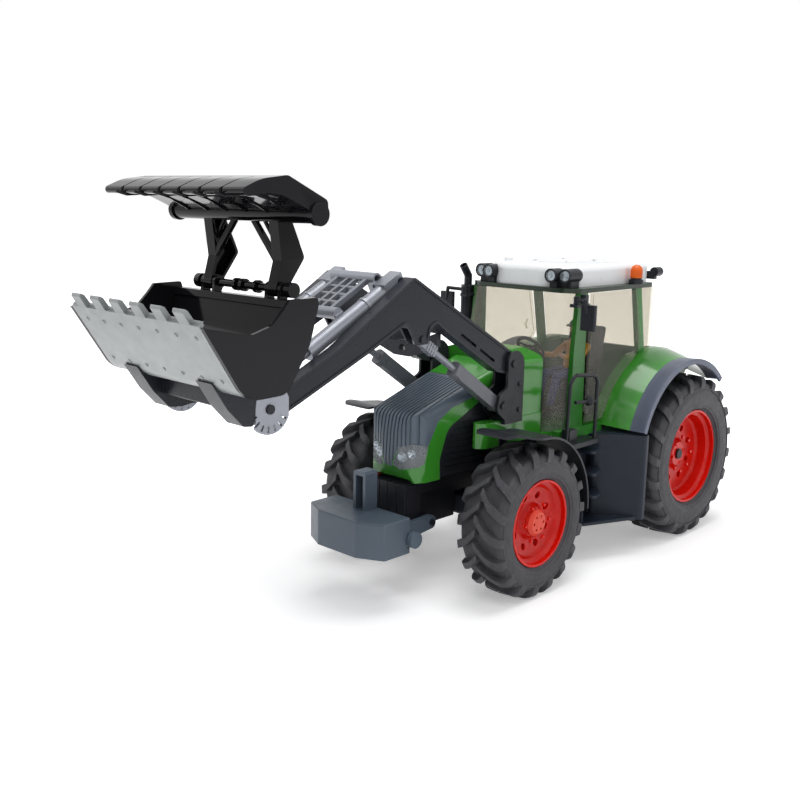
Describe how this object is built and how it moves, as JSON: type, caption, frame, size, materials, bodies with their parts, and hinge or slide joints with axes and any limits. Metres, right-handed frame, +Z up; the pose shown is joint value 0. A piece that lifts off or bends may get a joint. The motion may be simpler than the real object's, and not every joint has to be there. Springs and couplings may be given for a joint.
{
  "type": "toy front loader",
  "caption": "Toy tractor with a front loader, toothed bucket and grapple jaw, front weight, glazed cab, steerable axle and red wheels.",
  "frame": {"origin": "On the ground below the middle of the whole toy, under the bounding box centre", "axes": "+Z up, +X to the tractor's left, -Y towards the bucket, +Y towards the rear wheels"},
  "size_m": [0.17, 0.5034, 0.2646],
  "materials": {
    "tyre": "matt soft black",
    "red": "glossy moulded red",
    "green": "glossy moulded green",
    "grey": "satin blue-grey",
    "dark": "satin dark grey",
    "clear": "clear plastic",
    "white": "glossy white",
    "orange": "clear orange",
    "figure": "moulded figure in several colours",
    "boom_grey": "satin anthracite",
    "silver": "satin silver grey",
    "black": "glossy black"
  },
  "bodies": {
    "chassis": {"main_frame": "dark", "engine_block": "dark", "transaxle": "dark", "cowl": "green", "cab_tub": "green", "cab_frame": "green", "roof": "white", "cab_windows": "clear", "dashboard": "dark", "seat": "dark", "driver": "figure", "lamp_housings": "dark", "work_light_lenses": "clear", "beacon_dome": "orange", "exhaust": "dark", "handrails": "dark", "rear_fenders": "green", "fender_flares": "grey", "tank_panels": "dark", "drawbar": "dark", "loader_consoles": "dark"},
    "front_axle": {"front_axle_beam": "dark"},
    "tie_rod": {"tie_rod": "dark"},
    "front_linkage": {"front_hitch_arms": "grey", "front_weight": "grey"},
    "hood": {"hood_shell": "green", "grille_cover": "grey", "headlight_lenses": "clear", "hood_side_grilles": "dark"},
    "steering_wheel": {"steering_wheel": "dark"},
    "boom": {"boom_arms": "boom_grey", "boom_cross_members": "boom_grey"},
    "lift_tubes": {"lift_tubes": "boom_grey"},
    "lift_rods": {"lift_rods": "silver"},
    "tilt_links": {"tilt_tubes": "silver", "tilt_ladder": "silver"},
    "tilt_rods": {"tilt_rods": "silver"},
    "bucket": {"bucket_sides": "black", "bucket_shell": "black", "wear_plate": "silver", "bucket_brackets": "boom_grey", "coupler_discs": "silver"},
    "jaw": {"jaw_plate": "black", "jaw_frame": "black"},
    "knuckle_left": {"steering_knuckle_left": "dark", "front_mudguard_left": "dark"},
    "front_wheel_left": {"front_tyre_left": "tyre", "front_rim_left": "red"},
    "rear_wheel_left": {"rear_tyre_left": "tyre", "rear_rim_left": "red"},
    "door_left": {"door_left": "clear"},
    "mirror_left": {"mirror_left": "dark"},
    "knuckle_right": {"steering_knuckle_right": "dark", "front_mudguard_right": "dark"},
    "front_wheel_right": {"front_tyre_right": "tyre", "front_rim_right": "red"},
    "rear_wheel_right": {"rear_tyre_right": "tyre", "rear_rim_right": "red"},
    "door_right": {"door_right": "clear"},
    "mirror_right": {"mirror_right": "dark"}
  },
  "joints": [
    {"name": "boom_lift", "type": "hinge", "parent": "chassis", "child": "boom", "pos_m": [0, 0.01429, 0.148], "axis": [-1, 0, 0], "range_deg": [-26, 22]},
    {"name": "lift_tube_swing", "type": "hinge", "parent": "chassis", "child": "lift_tubes", "pos_m": [0, 0.00329, 0.121], "axis": [-1, 0, 0], "range_deg": [-25.1, 21.3]},
    {"name": "lift_rod_slide", "type": "slide", "parent": "lift_tubes", "child": "lift_rods", "axis": [0, -0.8329, 0.5534], "range_m": [-0.0132, 0.0112]},
    {"name": "bucket_tilt", "type": "hinge", "parent": "boom", "child": "bucket", "pos_m": [0, -0.19182, 0.1458], "axis": [-1, 0, 0], "range_deg": [-80, 8]},
    {"name": "tilt_link_swing", "type": "hinge", "parent": "boom", "child": "tilt_links", "pos_m": [0, -0.08421, 0.206], "axis": [-1, 0, 0], "range_deg": [-1.1, 8.3]},
    {"name": "tilt_rod_slide", "type": "slide", "parent": "tilt_links", "child": "tilt_rods", "axis": [0, -0.8839, -0.4677], "range_m": [-0.0018, 0.0157]},
    {"name": "jaw_close", "type": "hinge", "parent": "bucket", "child": "jaw", "pos_m": [0, -0.17672, 0.2066], "axis": [-1, 0, 0], "range_deg": [-46, 8]},
    {"name": "hood_open", "type": "hinge", "parent": "chassis", "child": "hood", "pos_m": [0, 0.02669, 0.1466], "axis": [-1, 0, 0], "range_deg": [0, 18]},
    {"name": "axle_oscillation", "type": "hinge", "parent": "chassis", "child": "front_axle", "pos_m": [0, -0.00131, 0.0501], "axis": [0, 1, 0], "range_deg": [-4, 4]},
    {"name": "steer_left", "type": "hinge", "parent": "front_axle", "child": "knuckle_left", "pos_m": [0.04, -0.00131, 0.0501], "axis": [0, 0, 1], "range_deg": [-11, 11]},
    {"name": "front_wheel_spin_left", "type": "hinge", "parent": "knuckle_left", "child": "front_wheel_left", "pos_m": [0.064, -0.00131, 0.0501], "axis": [1, 0, 0], "continuous": true},
    {"name": "rear_wheel_spin_left", "type": "hinge", "parent": "chassis", "child": "rear_wheel_left", "pos_m": [0.064, 0.18929, 0.0626], "axis": [1, 0, 0], "continuous": true},
    {"name": "door_open_left", "type": "hinge", "parent": "chassis", "child": "door_left", "pos_m": [0.0487, 0.08829, 0.14], "axis": [0, 0, -1], "range_deg": [0, 60]},
    {"name": "mirror_fold_left", "type": "hinge", "parent": "chassis", "child": "mirror_left", "pos_m": [0.0505, 0.06828, 0.188], "axis": [0, 0, 1], "range_deg": [-35, 35]},
    {"name": "steer_right", "type": "hinge", "parent": "front_axle", "child": "knuckle_right", "pos_m": [-0.04, -0.00131, 0.0501], "axis": [0, 0, 1], "range_deg": [-11, 11]},
    {"name": "front_wheel_spin_right", "type": "hinge", "parent": "knuckle_right", "child": "front_wheel_right", "pos_m": [-0.064, -0.00131, 0.0501], "axis": [1, 0, 0], "continuous": true},
    {"name": "rear_wheel_spin_right", "type": "hinge", "parent": "chassis", "child": "rear_wheel_right", "pos_m": [-0.064, 0.18929, 0.0626], "axis": [1, 0, 0], "continuous": true},
    {"name": "door_open_right", "type": "hinge", "parent": "chassis", "child": "door_right", "pos_m": [-0.0487, 0.08829, 0.14], "axis": [0, 0, 1], "range_deg": [0, 60]},
    {"name": "mirror_fold_right", "type": "hinge", "parent": "chassis", "child": "mirror_right", "pos_m": [-0.0505, 0.06828, 0.188], "axis": [0, 0, -1], "range_deg": [-35, 35]},
    {"name": "tie_rod_slide", "type": "slide", "parent": "front_axle", "child": "tie_rod", "axis": [1, 0, 0], "range_m": [-0.003, 0.003]},
    {"name": "steering_wheel_turn", "type": "hinge", "parent": "chassis", "child": "steering_wheel", "pos_m": [0, 0.08579, 0.14785], "axis": [0, 0.7348, 0.6783], "range_deg": [-60, 60]},
    {"name": "front_hitch_lift", "type": "hinge", "parent": "chassis", "child": "front_linkage", "pos_m": [0, -0.04331, 0.047], "axis": [-1, 0, 0], "range_deg": [-4, 8]}
  ],
  "couplings": [
    {"joint": "lift_tube_swing", "follows": "boom_lift", "ratio": 0.95},
    {"joint": "lift_rod_slide", "follows": "boom_lift", "m_per_rad": 0.0284},
    {"joint": "tilt_link_swing", "follows": "bucket_tilt", "ratio": -0.1},
    {"joint": "tilt_rod_slide", "follows": "bucket_tilt", "m_per_rad": -0.011},
    {"joint": "steer_right", "follows": "steer_left", "ratio": 1},
    {"joint": "tie_rod_slide", "follows": "steer_left", "m_per_rad": -0.013},
    {"joint": "steering_wheel_turn", "follows": "steer_left", "ratio": 4}
  ]
}
